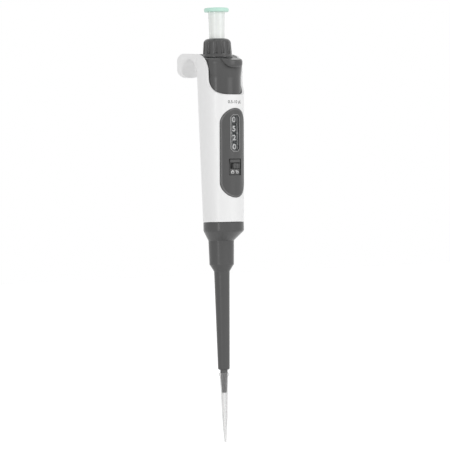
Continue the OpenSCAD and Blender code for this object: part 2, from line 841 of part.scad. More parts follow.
module counter_axle() {
    color(steel)
        translate([0, counter_y, mid_plate_z + 1.1])
            cylinder(h = frame_top_z + frame_t + 0.3 - mid_plate_z - 1.1, r = axle_r);
}

module carry_shaft() {
    color(steel)
        translate([carry_pos[0], carry_pos[1], frame_bottom_z + 0.2])
            cylinder(h = frame_top_z + frame_t - frame_bottom_z - 0.4, r = carry_shaft_r);
}

// One digit drum: open cup, carry ring below and plain locking disc above
module digit_drum(place) {
    z = counter_z + place * drum_pitch;
    rim = 0.9;
    web_z = ring_h + 1.4;
    color(drum_black)
        translate([0, counter_y, z])
            difference() {
                union() {
                    if (place > 0)
                        linear_extrude(ring_h) gear_profile(ring_teeth, carry_m, 0.7, 1.05, 0.06);
                    else
                        cylinder(h = ring_h, r = drum_r - 0.9);
                    translate([0, 0, ring_h]) cylinder(h = drum_face_h, r = drum_r);
                    translate([0, 0, ring_h + drum_face_h - 0.1]) cylinder(h = drum_h - ring_h - drum_face_h + 0.1, r = 3.6);
                }
                translate([0, 0, -1]) cylinder(h = drum_h + 2, r = axle_r + running_fit);
                // Cup under the digits, round the hub
                translate([0, 0, web_z])
                    difference() {
                        cylinder(h = drum_face_h - web_z + ring_h - 1, r = drum_r - rim);
                        translate([0, 0, -1]) cylinder(h = drum_face_h + 2, r = 1.7);
                    }
            }
}

module tens_drum() {
    digit_drum(3);
}

module units_drum() {
    digit_drum(2);
}

module tenths_drum() {
    digit_drum(1);
}

module hundredths_drum() {
    digit_drum(0);
}

// Gear on the lowest drum, driven by the spindle through the frame's floor
module counter_gear() {
    color(seal_white)
        translate([0, counter_y, gear_z])
            difference() {
                union() {
                    rotate([0, 0, 90 + 180 / counter_teeth])
                        linear_extrude(drive_face) gear_profile(counter_teeth, drive_m, 0.85, 1.1, 0.08);
                    cylinder(h = counter_z - gear_z - 0.02, r = gear_hub_r);
                }
                translate([0, 0, -1]) cylinder(h = 20, r = axle_r + running_fit);
            }
}

// Carry pinion between two drums; its hub stacks on the next pinion's
module carry_pinion(place) {
    z = counter_z + place * drum_pitch;
    color(seal_white)
        translate([carry_pos[0], carry_pos[1], z])
            difference() {
                union() {
                    translate([0, 0, -0.25])
                        rotate([0, 0, pinion_phase])
                            linear_extrude(1.3) gear_profile(pinion_teeth, carry_m, 0.7, 1.05, 0.06);
                    translate([0, 0, 0.5]) cylinder(h = drum_pitch - 0.85, r = carry_shaft_r + 0.5);
                }
                translate([0, 0, -1]) cylinder(h = 10, r = carry_shaft_r + running_fit);
            }
}

// A pinion's gap has to face the drum's tooth on the line of centres
pinion_phase = pinion_turn();
function pinion_turn() =
    let (
        to_pinion = -carry_angle,
        ring_step = 360 / ring_teeth,
        ring_off = to_pinion - ring_step * round(to_pinion / ring_step)
    )
    to_pinion + 180 + 180 / pinion_teeth + ring_off * ring_teeth / pinion_teeth;

module tens_pinion() {
    carry_pinion(3);
}

module units_pinion() {
    carry_pinion(2);
}

module tenths_pinion() {
    carry_pinion(1);
}

// ---------------------------------------------------------------- volume setting

// Fluted knob: a turned form with a flared base and a round shoulder
module volume_knob() {
    shoulder = 3.1;
    flute_r = 1.5;
    color(dark_grey)
        difference() {
            turned() {
                square_top = knob_top_z - shoulder;
                polygon([
                    [0, knob_z], [knob_flange_r, knob_z], [knob_flange_r, knob_z + 0.5],
                    [knob_r + 0.2, knob_z + 1.6], [knob_r, knob_z + 2.6],
                    [knob_r - 0.45, square_top], [0, square_top]
                ]);
                translate([0, square_top]) square([knob_r - 0.45 - shoulder, shoulder]);
                translate([knob_r - 0.45 - shoulder, square_top]) circle(shoulder);
            }
            for (i = [0 : knob_flutes - 1])
                rotate([0, 0, 360 * (i + 0.5) / knob_flutes])
                    translate([knob_r + flute_r - flute_d, 0, knob_z + 2.2])
                        rotate([0, -2, 0]) cylinder(h = knob_h, r = flute_r);
            tube(stem_top_r + 0.2, 0, knob_z - 1, knob_top_z + 1);
            tube(spindle_tube_r + 0.02, 0, knob_z - 1, knob_top_z - 2.5);
        }
}

// Hollow spindle: the knob turns it, its collar runs in the chassis,
// and its lower end carries the thread of the stroke nut
module spindle() {
    color(steel)
        difference() {
            union() {
                tube(spindle_tube_r, 0, collar_z, knob_top_z - 2.6);
                tube(collar_r, 0, collar_z, collar_z + collar_h);
                tube(spindle_r, 0, spindle_end_z, collar_z + 1);
            }
            tube(tube_bore_r, 0, step_z, knob_top_z);
            tube(rod_r + 0.5, 0, spindle_end_z - 1, step_z + 1);
            // Flats that key the spindle gear
            for (s = [-1, 1])
                span([s * (spindle_r - 0.4), s * (spindle_r + 1)], [-3, 3], [gear_z, gear_z + drive_face]);
        }
}

module spindle_gear() {
    color(seal_white)
        difference() {
            translate([0, 0, gear_z])
                rotate([0, 0, -90])
                    linear_extrude(drive_face) gear_profile(spindle_teeth, drive_m, 0.85, 1.1, 0.08);
            intersection() {
                tube(spindle_r + 0.02, 0, gear_z - 1, gear_z + drive_face + 1);
                span([-spindle_r + 0.38, spindle_r - 0.38], [-10, 10], [gear_z - 1, gear_z + drive_face + 1]);
            }
            for (a = [30 : 60 : 330])
                rotate([0, 0, a])
                    translate([(spindle_r + spindle_teeth * drive_m / 2 - drive_m) / 2 + 0.1, 0, gear_z - 1])
                        cylinder(h = drive_face + 2, r = 0.7);
        }
}

// Nut that climbs the spindle without turning; its cage holds the plunger down
module stroke_nut() {
    color(seal_white)
        difference() {
            union() {
                tube(nut_r, spindle_r + slip, nut_z, nut_z + nut_h);
                for (s = [-1, 1])
                    span([s * (nut_r - 1.2), s * nut_ear_x], nut_ear_y, [nut_z + 0.5, nut_z + nut_h - 0.5]);
                tube(cage_r, cage_bore_r, lip_z, nut_z + 0.5);
                tube(cage_r, rod_r + 0.4, lip_z, lip_z + lip_t);
            }
            // Side windows of the cage
            for (a = [0, 90])
                rotate([0, 0, a])
                    span([-2.2, 2.2], [-10, 10], [lip_z + lip_t + 1, nut_z - 1]);
            tube(spindle_r + slip, 0, nut_z - 1, nut_z + nut_h + 1);
        }
}

// ---------------------------------------------------------------- plunger

module button_cap() {
    edge = 1.2;
    under = 0.7;
    color(mint)
        difference() {
            turned() {
                translate([0, cap_z]) square([cap_r - under, cap_h]);
                translate([0, cap_z + under]) square([cap_r, cap_h - under - edge]);
                translate([cap_r - under, cap_z + under]) circle(under);
                intersection() {
                    translate([cap_r - edge, cap_z + cap_h - edge]) circle(edge);
                    translate([0, cap_z + cap_h - edge]) square([cap_r, edge]);
                }
            }
            // Round off the corner that the straight column left above the edge
            turned()
                difference() {
                    translate([cap_r - edge, cap_z + cap_h - edge]) square(edge + 1);
                    translate([cap_r - edge, cap_z + cap_h - edge]) circle(edge);
                }
            tube(stem_top_r - 1 + 0.02, 0, cap_z - 1, cap_z + cap_h - 1.2);
        }
}

module button_stem() {
    spigot_h = cap_h - 1.3;
    color(frosted)
        difference() {
            turned()
                polygon([
                    [0, stem_z], [stem_r, stem_z], [stem_r, knob_top_z], [stem_top_r, cap_z - 0.02],
                    [stem_top_r - 1, cap_z - 0.02], [stem_top_r - 1, cap_z + spigot_h], [0, cap_z + spigot_h]
                ]);
            tube(rod_r + 0.02, 0, stem_z - 1, cap_z - 3);
        }
}

module plunger_rod() {
    color(steel) tube(rod_r, 0, head_z + head_h, cap_z - 3.1);
}

module blow_out_spring() {
    color(spring_steel)
        coil_spring(3.4, 0.45, washer_z + washer_t + 0.05, stem_z - 0.05, 4);
}

module stop_washer() {
    color(steel) tube(stem_r, rod_r + 0.02, washer_z, washer_z + washer_t);
}

module piston_head() {
    color(seal_white)
        difference() {
            tube(head_r, 0, head_z, head_z + head_h - 0.02);
            tube(piston_r + 0.02, 0, head_z - 1, head_z + 1.6);
            tube(head_r + 1, head_r - 0.5, head_z + 1, head_z + 2);
        }
}

module piston() {
    color(steel) tube(piston_r, 0, piston_end_z, head_z + 1.5);
}

module piston_spring() {
    color(spring_steel)
        coil_spring(cavity_r - 1.3, 0.35, cavity_z + 2.05, head_z - 0.05, 9);
}

// ---------------------------------------------------------------- shaft

module shaft() {
    color(dark_grey)
        turned()
            polygon([
                [channel_r, 0], [nozzle_end_r, 0], [nozzle_top_r, nozzle_l],
                [shaft_cone_r, cone_top_z + 1.2], [shaft_r, neck_z + 1.2],
                [shaft_r, flange_z], [flange_r, flange_z], [flange_r, flange_z + flange_h],
                [cavity_r, flange_z + flange_h], [cavity_r, cavity_z], [pocket_r, cavity_z],
                [pocket_r, pocket_z], [cylinder_r, pocket_z], [cylinder_r, cylinder_z],
                [channel_r, cylinder_z - 0.6]
            ]);
}

// Union nut that pulls the shaft's flange against the chassis
module shaft_nut() {
    lip = 1.5;
    r = flange_r + 1.3;
    z = flange_z - lip;
    color(chassis_grey)
        difference() {
            tube(r, shaft_r + 0.05, z, plug_z - 0.4);
            tube(flange_r + 0.12, 0, flange_z, plug_z);
            for (a = [0 : 30 : 330])
                rotate([0, 0, a])
                    translate([r + 0.35, 0, z - 1]) cylinder(h = 10, r = 0.8);
        }
}

module seal_retainer() {
    color(steel)
        difference() {
            tube(cavity_r - 0.05, piston_r + 0.3, cavity_z + 0.02, cavity_z + 2);
            tube(pocket_r, 0, cavity_z + 1, cavity_z + 3);
        }
}

module piston_seal() {
    color(seal_white) tube(pocket_r - 0.05, piston_r + 0.02, pocket_z + 2.1, cavity_z);
}

module o_ring() {
    r_out = pocket_r - 0.05;
    r_in = piston_r + 0.03;
    color(rubber_black)
        turned()
            translate([(r_out + r_in) / 2, pocket_z + 0.05 + (r_out - r_in) / 2])
                circle((r_out - r_in) / 2, $fn = 32);
}

// ---------------------------------------------------------------- tip ejector

// Half section of the thumb button about the shell's axis
module button_section() {
    lobe_c = [lobe_r - lobe_corner_r, lobe_top_z - lobe_corner_r];
    translate([0, button_z]) square([button_r, lobe_z - button_z + 1]);
    polygon([[0, lobe_z], [button_r, lobe_z], [lobe_r, lobe_c[1]], [0, lobe_c[1]]]);
    translate(lobe_c) circle(lobe_corner_r);
    translate([0, lobe_z]) square([lobe_c[0], lobe_top_z - lobe_z]);
}

// Half section of the thumb pad that juts out in front, about an axis of its own
module pad_section() {
    chin = [thumb_r - chin_r, chin_z];
    polygon([
        [0, chin_z - 3.4], [thumb_r - 3.2, chin_z - 3.4],
        chin + chin_r * [cos(40), -sin(40)], [thumb_r, chin_z],
        [thumb_r, lobe_top_z - lobe_corner_r], [thumb_r - lobe_corner_r, lobe_top_z],
        [0, lobe_top_z]
    ]);
    translate(chin) circle(chin_r);
    translate([thumb_r, lobe_top_z] - [1, 1] * lobe_corner_r) circle(lobe_corner_r);
}

// Front outline of the thumb pad, with round lower corners
module thumb_front() {
    w = thumb_w / 2 - thumb_edge_r;
    z = chin_low_z + thumb_edge_r;
    translate([-thumb_w / 2, z]) square([thumb_w, lobe_top_z - z + 1]);
    translate([-w, chin_low_z]) square([2 * w, thumb_edge_r]);
    for (s = [-1, 1])
        translate([s * w, z]) circle(thumb_edge_r);
}

module ejector_button() {
    color(dark_grey)
        difference() {
            union() {
                intersection() {
                    difference() {
                        union() {
                            translate([0, -shell_offset, 0]) turned() button_section();
                            intersection() {
                                translate([0, -shell_offset - pad_offset, 0]) turned() pad_section();
                                front_view(0, -40) thumb_front();
                            }
                        }
                        translate([0, -shell_offset, button_z - 1])
                            cylinder(h = lobe_top_z - 1.8 - button_z + 1, r = button_r - button_wall);
                    }
                    // The lobe fills the thumb opening; the skirt runs on behind the cheeks
                    union() {
                        side_view(60) lobe_side();
                        translate([0, -shell_offset, button_z])
                            intersection() {
                                cylinder(h = 60, r = button_r);
                                span([-30, 30], [-30, shell_offset + deck_front_y - 0.4], [0, 60]);
                            }
                    }
                }
                // Yoke that rides on the spindle tube and takes the return spring
                tube(9.6, 0, yoke_z, yoke_z + yoke_t);
                intersection() {
                    translate([0, -shell_offset, yoke_z]) cylinder(h = yoke_t, r = button_r - 0.5);
                    span([-30, 30], [-30, deck_front_y - 0.4], [yoke_z, yoke_z + yoke_t]);
                }
                // Boss that grips the ejector bar
                intersection() {
                    span([bar_x[0] - 0.3, 14], bar_y + [-1, -0.9 + 0.9], [button_z, button_z + 6]);
                    translate([0, -shell_offset, button_z]) cylinder(h = 6, r = button_r);
                }
            }
            tube(spindle_tube_r + 0.3, 0, yoke_z - 1, lobe_top_z + 1);
            // The roof falls away towards the front
            translate([0, -knob_r - 0.5, lobe_top_z])
                rotate([roof_slope, 0, 0])
                    translate([-20, -20, 0]) cube([40, 20, 9]);
            span(bar_x + [-0.02, 0.02], bar_y + [-0.02, 0.02], [button_z - 1, button_z + 5]);
        }
}

// Side view of the room that the lobe may fill at every point of its travel
module lobe_side() {
    gap = 0.4;
    edge_y = cheek_edge_y - gap;
    foot_r = opening_foot_r - gap;
    foot = [edge_y - foot_r, opening_z + opening_foot_r];
    crown_r = cheek_r + gap;
    crown = [edge_y + crown_r, deck_top_z + crown_rise - cheek_r];
    difference() {
        translate([-40, opening_z + gap]) square([40 + deck_front_y - 0.4, 60]);
        translate([edge_y, 0]) square([60, crown[1] + eject_travel]);
        translate(crown + [0, eject_travel]) circle(crown_r);
        for (dz = [0, eject_travel])
            translate([0, dz])
                difference() {
                    translate([foot[0], opening_z - 9]) square([foot_r + 0.01, foot_r + gap + 9]);
                    translate(foot) circle(foot_r);
                }
    }
}

module ejector_bar() {
    color(steel)
        span(bar_x, bar_y, [rim_z + 0.6, button_z + 4.9]);
}

// Sleeve: straight rim, slope over to the plunger axis, neck and long cone
module ejector_sleeve() {
    rim_r = shell_bottom_r - 0.1;
    end_round = 0.8;
    color(dark_grey)
        difference() {
            union() {
                translate([0, -shell_offset, rim_z]) cylinder(h = sleeve_top_z - rim_z, r = rim_r);
                hull() {
                    translate([0, -shell_offset, rim_z - 0.02]) cylinder(h = 0.02, r = rim_r, $fn = 40);
                    translate([0, -shell_offset * 0.97, rim_z - 0.9]) cylinder(h = 0.02, r = rim_r - 0.35, $fn = 40);
                    translate([0, 0, shoulder_z]) cylinder(h = 0.02, r = neck_top_r, $fn = 40);
                }
                turned()
                    polygon([
                        [0, nozzle_l], [sleeve_end_r - end_round, nozzle_l],
                        [sleeve_end_r - 0.3, nozzle_l + 0.25], [sleeve_end_r, nozzle_l + end_round],
                        [cone_top_r, cone_top_z], [neck_bottom_r - 0.6, neck_z - 0.8],
                        [neck_bottom_r, neck_z], [neck_top_r, shoulder_z + 0.02], [0, shoulder_z + 0.02]
                    ]);
            }
            turned()
                polygon([
                    [0, nozzle_l - 1], [sleeve_end_r - sleeve_wall, nozzle_l - 1],
                    [sleeve_end_r - sleeve_wall, nozzle_l],
                    [cone_top_r - sleeve_wall, cone_top_z], [neck_bottom_r - sleeve_wall, neck_z],
                    [neck_top_r - sleeve_wall, shoulder_z + 0.05], [0, shoulder_z + 0.05]
                ]);
            hull() {
                translate([0, -shell_offset, rim_z + 0.01]) cylinder(h = 0.02, r = rim_r - sleeve_wall - 0.4, $fn = 40);
                translate([0, 0, shoulder_z + 0.02]) cylinder(h = 0.02, r = neck_top_r - sleeve_wall, $fn = 40);
            }
            difference() {
                translate([0, -shell_offset, rim_z])
                    cylinder(h = sleeve_top_z - rim_z + 1, r = rim_r - sleeve_wall - 0.4);
                // Lug with the slot that the ejector bar snaps into
                span([bar_x[0] - 0.5, 14], bar_y + [-1, 1], [rim_z, sleeve_top_z - 0.4]);
            }
            span(bar_x + [-0.02, 0.02], bar_y + [-0.02, 0.02], [rim_z + 0.5, sleeve_top_z + 1]);
        }
}

module ejector_spring() {
    color(spring_steel)
        coil_spring(spindle_tube_r + 1.2, 0.45, ring_z + ring_t + 0.05, yoke_z - 0.05, 6);
}

// ---------------------------------------------------------------- disposable tip

module tip() {
    // The nozzle's cone sets the tip's inside; below the nozzle it narrows on
    function nozzle_r(z) = nozzle_end_r + (nozzle_top_r - nozzle_end_r) * z / nozzle_l;
    mouth_r = nozzle_r(tip_seat) + tip_fit;
    waist_z = -tip_reach * 0.54;
    color(frosted)
        turned()
            polygon([
                [mouth_r + 0.1, tip_seat], [mouth_r + tip_wall + tip_collar - 0.1, tip_seat],
                [mouth_r + tip_wall + tip_collar, tip_seat - 0.3],
                [mouth_r + tip_wall + tip_collar, tip_seat - tip_collar_h],
                [nozzle_r(tip_seat - tip_collar_h) + tip_fit + tip_wall, tip_seat - tip_collar_h - 0.3],
                [nozzle_end_r + 0.7, 0], [1.75, waist_z], [0.8, -tip_reach + 0.4], [0.6, -tip_reach],
                [orifice_r, -tip_reach], [1.25, waist_z], [nozzle_end_r - 0.05, -0.8],
                [nozzle_end_r + tip_fit, -0.1], [mouth_r, tip_seat - 0.3]
            ]);
}

handle_shell();
front_cover();
window_lens();
lock_slider();
handle_screw();
chassis();
bearing_ring();
counter_frame();
counter_axle();
carry_shaft();
tens_drum();
units_drum();
tenths_drum();
hundredths_drum();
counter_gear();
tens_pinion();
units_pinion();
tenths_pinion();
volume_knob();
spindle();
spindle_gear();
stroke_nut();
button_cap();
button_stem();
plunger_rod();
blow_out_spring();
stop_washer();
piston_head();
piston();
piston_spring();
shaft();
shaft_nut();
seal_retainer();
piston_seal();
o_ring();
ejector_button();
ejector_bar();
ejector_sleeve();
ejector_spring();
tip();
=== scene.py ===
import math

import bmesh
import bpy
from mathutils import Matrix, Vector


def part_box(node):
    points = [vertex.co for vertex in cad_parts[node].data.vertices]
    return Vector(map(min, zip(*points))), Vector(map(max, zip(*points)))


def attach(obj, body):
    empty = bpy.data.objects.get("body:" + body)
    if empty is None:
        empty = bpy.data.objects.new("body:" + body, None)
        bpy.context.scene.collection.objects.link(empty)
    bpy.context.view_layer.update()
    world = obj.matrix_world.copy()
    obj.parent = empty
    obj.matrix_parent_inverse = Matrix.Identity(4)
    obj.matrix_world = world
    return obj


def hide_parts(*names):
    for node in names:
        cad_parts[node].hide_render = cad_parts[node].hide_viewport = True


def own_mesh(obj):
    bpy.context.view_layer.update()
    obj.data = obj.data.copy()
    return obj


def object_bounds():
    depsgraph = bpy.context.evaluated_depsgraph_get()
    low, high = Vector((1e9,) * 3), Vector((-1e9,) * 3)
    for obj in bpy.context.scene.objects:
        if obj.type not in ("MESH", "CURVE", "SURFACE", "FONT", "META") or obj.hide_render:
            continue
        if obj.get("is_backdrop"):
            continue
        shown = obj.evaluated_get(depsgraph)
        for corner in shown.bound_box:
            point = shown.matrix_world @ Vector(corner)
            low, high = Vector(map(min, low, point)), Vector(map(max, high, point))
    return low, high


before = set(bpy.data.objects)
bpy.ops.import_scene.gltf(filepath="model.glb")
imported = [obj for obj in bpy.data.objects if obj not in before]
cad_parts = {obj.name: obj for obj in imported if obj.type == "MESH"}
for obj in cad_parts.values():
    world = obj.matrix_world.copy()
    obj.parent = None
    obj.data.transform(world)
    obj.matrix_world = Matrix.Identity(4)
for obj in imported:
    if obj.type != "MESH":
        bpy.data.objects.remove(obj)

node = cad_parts
box_of_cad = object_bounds()

# The view: a long lens at the height where the sleeve meets the handle, to the left of the
# counter window. It is turned a little, so that the pipette leans as when it hangs from a peg.
azimuth = math.radians(-38)
elevation = math.radians(1.0)
roll = math.radians(-1.2)
distance = 1.7
seen_width = 0.2845
aim_height = 0.1060
aim_aside = 0.0026
back = Vector((math.sin(azimuth) * math.cos(elevation),
               -math.cos(azimuth) * math.cos(elevation), math.sin(elevation)))
right = Vector((math.cos(azimuth), math.sin(azimuth), 0))
aim = Vector((0, 0, aim_height)) + right * aim_aside
long_lens = bpy.data.cameras.new("long_lens")
long_lens.sensor_width = 36
long_lens.lens = long_lens.sensor_width * distance / seen_width
long_lens.clip_end = 20
camera = bpy.data.objects.new("camera", long_lens)
bpy.context.scene.collection.objects.link(camera)
bpy.context.scene.camera = camera
facing = Matrix((right, back.cross(right), back)).transposed() @ Matrix.Rotation(roll, 3, "Z")
camera.matrix_world = Matrix.Translation(aim + back * distance) @ facing.to_4x4()
bpy.context.scene.view_settings.view_transform = "Standard"


# The studio: white walls that light the object softly, a large lamp at the right, a narrow
# upright one at the left that draws a line on round dark parts, and one overhead.
def lay(tree, kind, sockets=(), wires=(), **settings):
    """Adds one node with its settings, its fixed sockets and the wires that feed it."""
    item = tree.nodes.new("ShaderNode" + kind)
    for key, value in settings.items():
        setattr(item, key, value)
    for key, value in sockets:
        item.inputs[key].default_value = value
    for key, source in wires:
        tree.links.new(source, item.inputs[key])
    return item


def seen_plainly(tree):
    """1 for what the eye sees straight, in gloss or through clear plastic; 0 for light."""
    path = lay(tree, "LightPath")
    straight = lay(tree, "Math", operation="MAXIMUM",
                   wires=((0, path.outputs["Is Camera Ray"]),
                          (1, path.outputs["Is Transmission Ray"])))
    return lay(tree, "Math", operation="MAXIMUM",
               wires=((0, straight.outputs[0]), (1, path.outputs["Is Glossy Ray"]))).outputs[0]


wall_light = 0.66
studio = bpy.data.worlds.new("studio")
bpy.context.scene.world = studio
studio.use_nodes = True
walls = studio.node_tree
wall_level = lay(walls, "Mix", data_type="FLOAT", sockets=((2, wall_light), (3, 1.0)),
                 wires=((0, seen_plainly(walls)),))
walls.links.new(wall_level.outputs[0], walls.nodes["Background"].inputs["Strength"])
walls.nodes["Background"].inputs["Color"].default_value = (1, 1, 1, 1)

# Each lamp's name, its place, its width and height, and its power in watts
for name, where, size, power in (
        ("key_lamp", aim + back * 0.7 + right + Vector((0, 0, 0.5)), (0.6, 0.9), 4.2),
        ("strip_lamp", aim + back * 1.32 - right * 0.7 + Vector((0, 0, 0.05)), (0.06, 1.3), 4.6),
        ("top_lamp", aim + Vector((0, 0, 1.1)), (1.6, 1.6), 1.2)):
    light = bpy.data.lights.new(name, "AREA")
    light.shape = "RECTANGLE"
    light.size, light.size_y = size
    light.energy = power
    lamp = bpy.data.objects.new(name, light)
    bpy.context.scene.collection.objects.link(lamp)
    lamp.location = where
    lamp.rotation_euler = (aim - where).to_track_quat("-Z", "Y").to_euler()

# Floor: a sheet of white paper under the hanging pipette. It is lifted to the walls' white
# where it is seen, and a shadow on it still shows.
floor_drop = 0.03
floor_half = 3
paper_tone = 0.86
paper_lift = 0.5
bm = bmesh.new()
bmesh.ops.create_grid(bm, x_segments=1, y_segments=1, size=floor_half)
bmesh.ops.translate(bm, verts=bm.verts, vec=(0, 0, box_of_cad[0][2] - floor_drop))
floor_mesh = bpy.data.meshes.new("floor")
bm.to_mesh(floor_mesh)
bm.free()
floor = bpy.data.objects.new("floor", floor_mesh)
bpy.context.scene.collection.objects.link(floor)
paper = bpy.data.materials.new("matt_white_paper")
paper.use_nodes = True
matt = paper.node_tree.nodes["Principled BSDF"]
matt.inputs["Base Color"].default_value = (paper_tone, paper_tone, paper_tone, 1)
matt.inputs["Roughness"].default_value = 0.9
matt.inputs["Emission Color"].default_value = (1, 1, 1, 1)
lift = lay(paper.node_tree, "Math", operation="MULTIPLY", sockets=((1, paper_lift),),
           wires=((0, seen_plainly(paper.node_tree)),))
paper.node_tree.links.new(lift.outputs[0], matt.inputs["Emission Strength"])
floor.data.materials.append(paper)
floor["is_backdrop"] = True


# Chassis: the inner body that carries counter, spindle and shaft, moulded in one piece.
# The bearing ring is a turned acetal washer that snaps in over the spindle's collar.
def linear(shade):
    """Red, green and blue of a hex colour, as the shaders take them."""
    parts = [int(shade[i:i + 2], 16) / 255 for i in (1, 3, 5)]
    return tuple(c / 12.92 if c <= 0.04045 else ((c + 0.055) / 1.055) ** 2.4 for c in parts)


def two_tones(tree, source, shade, dark, light, low=0.3, high=0.7):
    """Colour that runs from a darker to a lighter tone of one shade along a pattern."""
    ramp = lay(tree, "ValToRGB", wires=(("Fac", source),))
    for stop, where, tone in ((0, low, dark), (1, high, light)):
        ramp.color_ramp.elements[stop].position = where
        ramp.color_ramp.elements[stop].color = tuple(c * tone for c in linear(shade)) + (1,)
    return ramp.outputs["Color"]


def moulded(name, shade, rough, mottle=0.03, cloud_mm=18, cloud_stretch=0.4, grain_mm=0.3,
            grain_depth_mm=0.012, rim_mm=0.25, shine=0.5, hollow_mm=0, painted_hollow_shade=0.5,
            alpha=1.0, edge_alpha=None, coat=0.0, waxy=0.0):
    """Moulded plastic: cloudy along the flow, satin grain, soft edges, painted shade in hollows.

    mottle is the share by which the cloud changes the tone, rim_mm the rounding of an edge, and
    the hollow shade argument the share of tone that painted shade takes from a hollow of
    hollow_mm.
    edge_alpha is the density of a thin wall that is seen edge on.
    """
    skin = bpy.data.materials.new(name)
    skin.use_nodes = True
    tree = skin.node_tree
    shader = tree.nodes["Principled BSDF"]
    place = lay(tree, "TexCoord").outputs["Object"]
    flow = lay(tree, "Mapping", sockets=(("Scale", (1, 1, cloud_stretch)),),
               wires=(("Vector", place),))
    cloud = lay(tree, "TexNoise",
                sockets=(("Scale", 1000 / cloud_mm), ("Detail", 5), ("Roughness", 0.6)),
                wires=(("Vector", flow.outputs[0]),)).outputs["Fac"]
    colour = two_tones(tree, cloud, shade, 1 - mottle, 1 + mottle, low=0.32, high=0.68)
    # Painted shade: ambient occlusion darkens the base colour in flutes, recesses and under
    # overhangs
    if hollow_mm:
        open_share = lay(tree, "AmbientOcclusion", samples=8, only_local=True,
                         sockets=(("Distance", hollow_mm / 1000),)).outputs["AO"]
        painted_shade = lay(tree, "MapRange",
                    sockets=(("From Min", 0.6), ("From Max", 0.97), ("To Min", 1 - painted_hollow_shade)),
                    wires=(("Value", open_share),))
        colour = lay(tree, "Mix", data_type="RGBA", blend_type="MULTIPLY", sockets=((0, 1.0),),
                     wires=((6, colour), (7, painted_shade.outputs["Result"]))).outputs[2]
    tree.links.new(colour, shader.inputs["Base Color"])
    # The gloss is a little uneven, as on plastic that has been handled
    rub = lay(tree, "MapRange",
              sockets=(("From Min", 0.3), ("From Max", 0.7),
                       ("To Min", max(0.02, rough - 0.05)), ("To Max", rough + 0.05)),
              wires=(("Value", cloud),))
    tree.links.new(rub.outputs["Result"], shader.inputs["Roughness"])
    # The satin is a spark-eroded grain, drawn about twice its real width so that it shows
    grain = lay(tree, "TexNoise", sockets=(("Scale", 1000 / grain_mm), ("Detail", 2)),
                wires=(("Vector", place),))
    bump = lay(tree, "Bump", sockets=(("Strength", 0.35), ("Distance", grain_depth_mm / 1000)),
               wires=(("Height", grain.outputs["Fac"]),))
    if rim_mm:
        rounding = lay(tree, "Bevel", samples=6, sockets=(("Radius", rim_mm / 1000),))
        tree.links.new(rounding.outputs["Normal"], bump.inputs["Normal"])
    tree.links.new(bump.outputs["Normal"], shader.inputs["Normal"])
    shader.inputs["Alpha"].default_value = alpha
    if edge_alpha:
        edge = lay(tree, "LayerWeight", sockets=(("Blend", 0.35),))
        wall = lay(tree, "MapRange",
                   sockets=(("From Max", 0.9), ("To Min", alpha), ("To Max", edge_alpha)),
                   wires=(("Value", edge.outputs["Facing"]),))
        tree.links.new(wall.outputs["Result"], shader.inputs["Alpha"])
    shader.inputs["Specular IOR Level"].default_value = shine
    shader.inputs["Coat Weight"].default_value = coat
    shader.inputs["Coat Roughness"].default_value = 0.15
    shader.inputs["Subsurface Weight"].default_value = waxy
    shader.inputs["Subsurface Radius"].default_value = (0.0012, 0.0012, 0.0011)
    return skin


def dress(skin, *names):
    """Gives CAD pieces their material."""
    for name in names:
        node[name].data.materials.clear()
        node[name].data.materials.append(skin)


# Glass-filled PBT looks a little cloudy and dry, because the fibres lie along the flow
dress(moulded("chassis_grey_pbt", "#7E8082", 0.5, mottle=0.06, grain_mm=0.2, cloud_mm=8),
      "chassis", "shaft_nut")
# Acetal is a waxy, slightly warm white
acetal = moulded("white_acetal", "#E4E3DE", 0.38, mottle=0.015, rim_mm=0.1, waxy=0.1)
dress(acetal, "bearing_ring")


# Counter frame: a moulded carrier on the chassis, with a ground steel axle for the drums
# and a second one for the carry pinions, both pushed in from above.
def machined(name, shade, rough, line_mm, stretch=(1, 1, 1), depth_mm=0.004, rim_mm=0.08):
    """Turned, ground or drawn metal: fine tool lines in tone, gloss and surface."""
    skin = bpy.data.materials.new(name)
    skin.use_nodes = True
    tree = skin.node_tree
    shader = tree.nodes["Principled BSDF"]
    shader.inputs["Metallic"].default_value = 1.0
    place = lay(tree, "TexCoord")
    lines = lay(tree, "Mapping", sockets=(("Scale", stretch),),
                wires=(("Vector", place.outputs["Object"]),))
    tool = lay(tree, "TexNoise", sockets=(("Scale", 1000 / line_mm), ("Detail", 3)),
               wires=(("Vector", lines.outputs[0]),)).outputs["Fac"]
    colour = two_tones(tree, tool, shade, dark=0.9, light=1.06)
    tree.links.new(colour, shader.inputs["Base Color"])
    rub = lay(tree, "MapRange",
              sockets=(("From Min", 0.3), ("From Max", 0.7),
                       ("To Min", rough - 0.06), ("To Max", rough + 0.08)),
              wires=(("Value", tool),))
    tree.links.new(rub.outputs["Result"], shader.inputs["Roughness"])
    rounding = lay(tree, "Bevel", samples=4, sockets=(("Radius", rim_mm / 1000),))
    bump = lay(tree, "Bump", sockets=(("Strength", 0.4), ("Distance", depth_mm / 1000)),
               wires=(("Height", tool), ("Normal", rounding.outputs["Normal"])))
    tree.links.new(bump.outputs["Normal"], shader.inputs["Normal"])
    return skin


# The frame is of the chassis's PBT in a paler grey, with the same dry clouds
dress(moulded("frame_grey_pbt", "#8C8E90", 0.5, mottle=0.05, cloud_mm=8), "counter_frame")
# Centreless ground steel: bright, with fine rings round the rod
rings_round = (0.15, 0.15, 1)
ground_steel = machined("ground_steel", "#C3C5C8", 0.22, line_mm=0.1, stretch=rings_round)
dress(ground_steel, "counter_axle", "carry_shaft")


# Number drums: four rollers that turn freely on one axle, moulded in black acetal.
# Each carries the figures 0 to 9 in white; from the top down they show 0 5 2 0.
figure_share_of_size = 0.70
merge_distance = 1e-6


